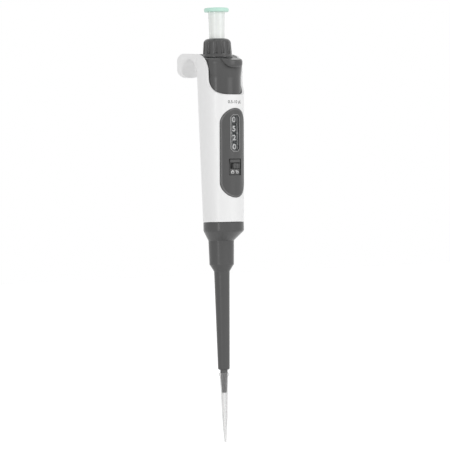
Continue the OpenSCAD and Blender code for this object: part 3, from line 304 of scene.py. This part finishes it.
def flat_words(words, height, bold):
    """Figures as a flat mesh in X and Z, centred, with height being that of a figure."""
    lettering = bpy.data.curves.new("figures", "FONT")
    lettering.body = words
    lettering.size = height / figure_share_of_size
    lettering.align_x = "CENTER"
    lettering.resolution_u = 4
    lettering.offset = height * bold
    holder = bpy.data.objects.new("figures", lettering)
    bpy.context.scene.collection.objects.link(holder)
    bpy.context.view_layer.update()
    shown_holder = holder.evaluated_get(bpy.context.evaluated_depsgraph_get())
    mesh = bpy.data.meshes.new_from_object(shown_holder)
    bm = bmesh.new()
    bm.from_mesh(mesh)
    bmesh.ops.remove_doubles(bm, verts=bm.verts, dist=merge_distance)
    bmesh.ops.translate(bm, verts=bm.verts, vec=(0, -height / 2, 0))
    bmesh.ops.rotate(bm, verts=bm.verts, matrix=Matrix.Rotation(math.pi / 2, 3, "X"))
    bpy.data.objects.remove(holder)
    bpy.data.curves.remove(lettering)
    bpy.data.meshes.remove(mesh)
    return bm


def thicken(bm, thickness, sunk):
    """Gives a flat form in X and Z a thickness towards -Y, its back sunk into the part."""
    grown = bmesh.ops.extrude_face_region(bm, geom=bm.faces[:])
    bmesh.ops.translate(bm, verts=[v for v in grown["geom"] if isinstance(v, bmesh.types.BMVert)],
                        vec=(0, -thickness - sunk, 0))
    bmesh.ops.translate(bm, verts=bm.verts, vec=(0, sunk, 0))


def bend(bm, axis_y, radius, turn=0.0, from_front=False):
    """Lays a flat form in X and Z round the part's axis, by its arc or as seen from in front."""
    for v in bm.verts:
        r = radius(v.co.z)
        a = (math.asin(v.co.x / r) if from_front else v.co.x / r) + turn
        r -= v.co.y
        v.co = (r * math.sin(a), axis_y - r * math.cos(a), v.co.z)
    bmesh.ops.recalc_face_normals(bm, faces=bm.faces)


def cut(bm, where, across):
    """Parts a form's faces along a plane and keeps both sides."""
    bmesh.ops.bisect_plane(bm, geom=bm.verts[:] + bm.edges[:] + bm.faces[:], dist=1e-7,
                           plane_co=where, plane_no=across)


def wrap(bm, axis_y, radius, turn=0.0, step=0.0003):
    """Cuts a flat form into upright strips and bends it round the part's axis."""
    reach = max(abs(v.co.x) for v in bm.verts)
    for k in range(-int(reach / step), int(reach / step) + 1):
        cut(bm, (k * step, 0, 0), (1, 0, 0))
    bend(bm, axis_y, radius, turn)


def piece(name, bm, skin, body, smooth=False):
    """Makes a finished form a piece that rides on a body."""
    mesh = bpy.data.meshes.new(name)
    bm.to_mesh(mesh)
    bm.free()
    for face in mesh.polygons:
        face.use_smooth = smooth
    made = bpy.data.objects.new(name, mesh)
    bpy.context.scene.collection.objects.link(made)
    made.data.materials.append(skin)
    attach(made, body)
    return made


# Black acetal is nearly matt; the ink is a dense white with a soft, dry face
ink = 0.00003
white_ink = moulded("white_pad_ink", "#E2E2E2", 0.5, mottle=0.02, rim_mm=0)
figure_height = 0.0033
figure_wide = 1.3
figure_bold = 0.02
figure_above_foot = 0.00325
# Degrees from one figure to the next, and how far round they stand to be read from the left
turn_per_figure = 360 / 10
figure_lead = 2
dress(moulded("black_acetal", "#343434", 0.42, mottle=0.04, rim_mm=0.12),
      "tens_drum", "units_drum", "tenths_drum", "hundredths_drum")
for place, shown in (("tens", 0), ("units", 5), ("tenths", 2), ("hundredths", 0)):
    low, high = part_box(place + "_drum")
    figures = bmesh.new()
    for value in range(10):
        figure = flat_words(str(value), figure_height, figure_bold)
        bmesh.ops.scale(figure, verts=figure.verts, vec=(figure_wide, 1, 1))
        thicken(figure, ink, ink)
        bmesh.ops.translate(figure, verts=figure.verts, vec=(0, 0, low.z + figure_above_foot))
        wrap(figure, (low.y + high.y) / 2, lambda z: high.x,
             turn=math.radians(turn_per_figure * (value - shown) + figure_lead), step=0.00025)
        one = bpy.data.meshes.new("figure")
        figure.to_mesh(one)
        figure.free()
        figures.from_mesh(one)
        bpy.data.meshes.remove(one)
    piece(place + "_figures", figures, white_ink, place + "_drum")

# Gears of the counter: the counter gear under the lowest drum and three carry pinions
# between the drums, moulded in the same white acetal as the gear on the spindle.
dress(acetal, "counter_gear", "tens_pinion", "units_pinion", "tenths_pinion", "spindle_gear")

# Spindle: a hollow turned steel screw, blackened against rust, that the knob turns.
# The stroke nut climbs it without turning and sets how far the plunger may rise.
# Blackened steel keeps its turned rings but gives only a dull, dark gleam.
dress(machined("blackened_steel", "#4A4B4D", 0.34, line_mm=0.15, stretch=rings_round), "spindle")
dress(acetal, "stroke_nut", "piston_head")

# Plunger line: rod, stop washer and piston of ground steel, one behind the other,
# with the blow-out spring round the rod. The seal's retainer is a turned steel cup.
dress(ground_steel, "plunger_rod", "piston", "stop_washer", "seal_retainer")
# Music wire is drawn bright and shows long faint streaks along the wire
drawn_wire = machined("drawn_wire", "#A9ABAE", 0.32, line_mm=0.25)
dress(drawn_wire, "blow_out_spring")


# Piston spring and ejector spring: open coils of music wire between a fixed seat below and
# the moving part above, which presses them shorter; here each is wound at rest length.
wire_sides = 10
steps_per_turn = 32


def wound(cad_spring, wire_r, turns):
    """Winds round wire in the room of a CAD spring and hides that spring."""
    low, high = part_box(cad_spring)
    rise = high.z - low.z - 2 * wire_r
    steps = turns * steps_per_turn
    bm = bmesh.new()
    bmesh.ops.create_circle(bm, cap_ends=False, segments=wire_sides, radius=wire_r)
    bmesh.ops.rotate(bm, verts=bm.verts, matrix=Matrix.Rotation(math.pi / 2, 3, "X"))
    bmesh.ops.translate(bm, verts=bm.verts, vec=(high.x - wire_r, 0, low.z + wire_r))
    bmesh.ops.spin(bm, geom=bm.verts[:] + bm.edges[:], cent=(0, 0, 0), axis=(0, 0, 1),
                   dvec=(0, 0, rise / steps), angle=turns * 2 * math.pi, steps=steps)
    bmesh.ops.holes_fill(bm, edges=[e for e in bm.edges if e.is_boundary])
    bmesh.ops.recalc_face_normals(bm, faces=bm.faces)
    coil = piece(cad_spring + "_coil", bm, drawn_wire, "handle", smooth=True)
    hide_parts(cad_spring)
    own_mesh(coil)


wound("piston_spring", wire_r=0.00035, turns=9)
wound("ejector_spring", wire_r=0.00045, turns=6)

# Shaft: glass-filled PBT, its upper flange held by the union nut; the cone at its lower end
# takes the tip. Inside sit a PTFE seal and a nitrile ring round the piston.
# The shaft's PBT is dyed dark grey and stays satin, a shade duller than the sleeve.
dress(moulded("shaft_grey_pbt", "#5A5A5A", 0.45, mottle=0.04, rim_mm=0.2), "shaft")
# PTFE is a dull, milky white; nitrile rubber is black and dusty
dress(moulded("white_ptfe", "#EFEFEA", 0.45, mottle=0.01, rim_mm=0.1, waxy=0.2), "piston_seal")
dress(moulded("black_nitrile", "#262626", 0.6, mottle=0.08, grain_mm=0.15, rim_mm=0.1), "o_ring")

# Tip ejector: the thumb button pushes a flat bar inside the handle, and the bar pushes
# the sleeve that slides round the shaft.
# Drawn steel bar shows faint streaks down its length.
streaks_along = (1, 1, 0.08)
dress(machined("drawn_bar", "#B4B6B8", 0.3, line_mm=0.12, stretch=streaks_along), "ejector_bar")
# Dyed ABS with a silky face: a soft line of light on the round, and painted shade under the thumb
# pad
dress(moulded("button_grey_abs", "#535353", 0.24, rim_mm=0.5, shine=0.28, hollow_mm=3),
      "ejector_button")
# Dyed polypropylene is a little greasier and cloudier than the ABS
dress(moulded("sleeve_grey_pp", "#565656", 0.24, mottle=0.035, rim_mm=0.35, shine=0.25),
      "ejector_sleeve")

# Volume knob: dark grey ABS with twelve finger flutes, pressed on the spindle's tube.
# The flutes are darkened with painted shade, so they look darker than the ribs between them.
dress(moulded("knob_grey_abs", "#494949", 0.17, rim_mm=0.3, hollow_mm=5, painted_hollow_shade=1.0),
      "volume_knob")

# Plunger button: a milky polypropylene stem, drawn with faint upright lines by its mould,
# and a mint green ABS cap that is pressed on it and gives the volume class by its colour.
dress(moulded("milky_stem_pp", "#EFF2EF", 0.2, mottle=0.035, cloud_mm=1.6, cloud_stretch=0.03,
              rim_mm=0.15, coat=0.3, waxy=0.2), "button_stem")
dress(moulded("mint_abs", "#C4EADB", 0.36, mottle=0.012, waxy=0.1), "button_cap")

# Handle shell with its finger hook: one moulding, pushed over the chassis from above.
# White ABS with a fine satin face; the broad highlights are soft and the edges rounded.
dress(moulded("white_abs", "#F1F1F1", 0.36, mottle=0.012, rim_mm=0.4, coat=0.1), "handle_shell")

# Volume range: plain figures pad-printed in grey on the shell above the cover.
# The ink is a thin sheet that follows the round of the shell.
shell_axis_y = -0.0028
shell_foot = (0.1082, 0.0129)
shell_head = (0.1879, 0.0146)


def shell_radius(z):
    """Radius of the shell's outside, which widens evenly from its foot to its head."""
    share = (z - shell_foot[0]) / (shell_head[0] - shell_foot[0])
    return shell_foot[1] + (shell_head[1] - shell_foot[1]) * share


cover_low, cover_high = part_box("front_cover")
range_above_cover = 0.0040
range_height = 0.0019
# Grey pad ink dries flat and matt against the satin shell
grey_ink = moulded("grey_pad_ink", "#5F5F5F", 0.5, rim_mm=0)
range_figures = flat_words("0.5-10 µL", range_height, figure_bold)
thicken(range_figures, ink, ink)
bmesh.ops.translate(range_figures, verts=range_figures.verts,
                    vec=(0, 0, cover_high.z + range_above_cover))
wrap(range_figures, shell_axis_y, shell_radius, step=0.0006)
piece("range_figures", range_figures, grey_ink, "handle")

# Front cover over the counter: dark grey ABS, snapped into the shell's recess with lugs.
# A low round bead runs along its outline, polished by the mould, and catches a line of light; its
# grey is also painted lighter than the cover's, a painted highlight.
# The cover's face is silky, and painted shade darkens its recess for the lock.
dress(moulded("cover_grey_abs", "#575757", 0.24, rim_mm=0.5, shine=0.25, hollow_mm=1.5,
              painted_hollow_shade=0.7), "front_cover")
# The bead's grey is a painted highlight: lighter than the cover's moulding, to draw the line of
# light
bead_highlight_grey = moulded("bead_abs_painted_highlight", "#626262", 0.2, rim_mm=0)
bead_segments = 96
# The bead's section: each point's distance in from the outline, and its height on the shell
bead_section = ((0.00012, -0.0001), (0.00025, 0.0001), (0.0005, 0.00018),
                (0.0008, 0.00018), (0.00105, 0.0001), (0.0012, -0.0001))
straight_half = (cover_high.z - cover_low.z) / 2 - cover_high.x
bead = bmesh.new()
bmesh.ops.create_circle(bead, cap_ends=False, segments=bead_segments,
                        radius=cover_high.x - bead_section[0][0])
bmesh.ops.rotate(bead, verts=bead.verts, matrix=Matrix.Rotation(math.pi / bead_segments, 3, "Z"))
bmesh.ops.rotate(bead, verts=bead.verts, matrix=Matrix.Rotation(math.pi / 2, 3, "X"))
bmesh.ops.translate(bead, verts=bead.verts, vec=(0, -bead_section[0][1], 0))
front = bead.edges[:]
for (inset, _), (next_inset, height) in zip(bead_section, bead_section[1:] + bead_section[:1]):
    grown = bmesh.ops.extrude_edge_only(bead, edges=front)["geom"]
    front = [e for e in grown if isinstance(e, bmesh.types.BMEdge)]
    share = (cover_high.x - next_inset) / (cover_high.x - inset)
    for v in (v for v in grown if isinstance(v, bmesh.types.BMVert)):
        v.co = (v.co.x * share, -height, v.co.z * share)
bmesh.ops.remove_doubles(bead, verts=bead.verts, dist=merge_distance)
# The ring is parted at its middle and drawn out to the length of the cover
for v in bead.verts:
    v.co.z += math.copysign(straight_half, v.co.z) + (cover_low.z + cover_high.z) / 2
bend(bead, shell_axis_y, shell_radius, from_front=True)
piece("cover_bead", bead, bead_highlight_grey, "handle", smooth=True)

# Window: a clear polycarbonate pane, snapped in from behind, with a fine raised rim in front.
# A grey mask is printed on its back and leaves one slot for the figures.
pane_low, pane_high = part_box("window_lens")
pane_flange = 0.00076
window_z = (pane_low.z + pane_high.z) / 2
window_size = (pane_high.x - pane_low.x - 2 * pane_flange,
               pane_high.z - pane_low.z - 2 * pane_flange)
window_cut = 0.002
slot_size = (0.0034, 0.0212)
mask_inset = 0.00106
mask_overlap = 0.0001
rim_width = 0.00042
rim_height = 0.00016
rim_sunk = 0.0001
# Polycarbonate is glass-clear; only its gloss shows
dress(moulded("clear_polycarbonate", "#9AA0A2", 0.06, mottle=0.0, grain_depth_mm=0.001,
              rim_mm=0, alpha=0.07), "window_lens")


def plate(width, height, corner, segments):
    """Flat plate in X and Z with round or cut corners."""
    bm = bmesh.new()
    bmesh.ops.create_grid(bm, x_segments=1, y_segments=1, size=0.5)
    bmesh.ops.scale(bm, verts=bm.verts, vec=(width, height, 1))
    bmesh.ops.bevel(bm, geom=bm.verts[:], offset=corner, segments=segments, profile=0.5,
                    affect="VERTICES", material=-1)
    bmesh.ops.rotate(bm, verts=bm.verts, matrix=Matrix.Rotation(math.pi / 2, 3, "X"))
    return bm


def hollow_out(bm, wall):
    """Leaves a flat plate nothing but an even wall along its outline."""
    bmesh.ops.inset_region(bm, faces=bm.faces[:], thickness=wall, use_even_offset=True,
                           use_boundary=True)
    bmesh.ops.delete(bm, geom=[max(bm.faces, key=lambda f: f.calc_area())], context="FACES")


mask = plate(window_size[0] + 2 * mask_overlap, window_size[1] + 2 * mask_overlap,
             window_cut, segments=1)
for side in (-1, 1):
    cut(mask, (side * slot_size[0] / 2, 0, 0), (1, 0, 0))
for side in (-1, 1):
    cut(mask, (0, 0, side * slot_size[1] / 2), (0, 0, 1))
slot = [f for f in mask.faces if abs(f.calc_center_median().x) < slot_size[0] / 2
        and abs(f.calc_center_median().z) < slot_size[1] / 2]
bmesh.ops.delete(mask, geom=slot, context="FACES")
thicken(mask, ink, sunk=0)
bmesh.ops.translate(mask, verts=mask.verts, vec=(0, 0, window_z))
wrap(mask, shell_axis_y, lambda z: shell_radius(z) - mask_inset)
# The mask's ink is a flat, even grey behind the pane
mask_grey = moulded("grey_mask_ink", "#6E6E6E", 0.5, rim_mm=0)
piece("window_mask", mask, mask_grey, "handle")

rim = plate(window_size[0] + 2 * rim_width, window_size[1] + 2 * rim_width,
            window_cut, segments=1)
hollow_out(rim, rim_width)
thicken(rim, rim_height, rim_sunk)
bmesh.ops.translate(rim, verts=rim.verts, vec=(0, 0, window_z))
wrap(rim, shell_axis_y, shell_radius)
# The rim is paler than the cover, so that the window reads as an outline
rim_grey = moulded("rim_grey_abs", "#8C8C8C", 0.35, rim_mm=0.05)
piece("window_rim", rim, rim_grey, "handle")

# Decimal marks: two short white lines, printed on the mask with the figures' ink. They stand
# level with the gap between the units and the tenths.
mark_size = (0.0009, 0.0004)
mark_corner = mark_size[1] / 5
mark_x = 0.0024
for side, name in ((-1, "decimal_mark_left"), (1, "decimal_mark_right")):
    mark = plate(mark_size[0], mark_size[1], mark_corner, segments=2)
    thicken(mark, ink, sunk=0)
    bmesh.ops.translate(mark, verts=mark.verts, vec=(side * mark_x, -ink, window_z))
    wrap(mark, shell_axis_y, lambda z: shell_radius(z) - mask_inset)
    piece(name, mark, white_ink, "handle")

# Volume lock: a dark slider behind the cover with a ribbed pad that stands in its slot.
# Two padlocks, closed and open, are printed in white on the recess's floor below it.
# The lock's ABS is duller than the cover's, because fingers wear it.
dress(moulded("lock_grey_abs", "#5A5A5A", 0.34, rim_mm=0.2, shine=0.35), "lock_slider")
recess_inset = 0.0006
padlock_below_slider = 0.0004
padlock_apart = 0.0038
padlock_body = (0.0021, 0.0013)
padlock_corner = 0.0002
padlock_line = 0.0003
shackle_r = (0.00050, 0.00080)


def padlock(is_open):
    """A padlock sign in outline, flat in X and Z: a body with round corners and a half ring."""
    bm = plate(padlock_body[0], padlock_body[1], padlock_corner, segments=3)
    hollow_out(bm, padlock_line)
    bmesh.ops.translate(bm, verts=bm.verts, vec=(0, 0, -padlock_body[1] / 2 + padlock_line / 2))
    body = bm.verts[:]
    ends = [bm.verts.new((r, 0, 0)) for r in shackle_r]
    bmesh.ops.spin(bm, geom=ends + [bm.edges.new(ends)], cent=(0, 0, 0), axis=(0, -1, 0),
                   angle=math.pi, steps=12)
    if is_open:
        bmesh.ops.translate(bm, verts=[v for v in bm.verts if v not in body],
                            vec=(-2 * shackle_r[0], 0, 0))
    return bm


padlock_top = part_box("lock_slider")[0].z - padlock_below_slider
for side, is_open, name in ((-1, False, "padlock_closed"), (1, True, "padlock_open")):
    sign = padlock(is_open)
    thicken(sign, ink, ink)
    bmesh.ops.translate(sign, verts=sign.verts, vec=(side * padlock_apart / 2, 0, padlock_top))
    wrap(sign, shell_axis_y, lambda z: shell_radius(z) - recess_inset)
    piece(name, sign, white_ink, "handle")

# Screw of the shell, behind the cover: it ties the shell to the chassis. It is zinc-plated
# steel, bright and slightly blue, with the fine rings of its turned, slotted head.
dress(machined("plated_steel", "#B9BABC", 0.3, line_mm=0.12), "handle_screw")

# Disposable tip: thin natural polypropylene, pushed on the shaft's cone. It is milky and
# clear enough to show the cone; its walls look denser where they are seen edge on.
dress(moulded("natural_pp", "#BCBCBC", 0.3, mottle=0.0, grain_depth_mm=0.003, rim_mm=0.1,
              alpha=0.16, edge_alpha=0.5), "tip")

size = {"cad": [list(v) for v in box_of_cad], "visual": [list(v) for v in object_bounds()]}
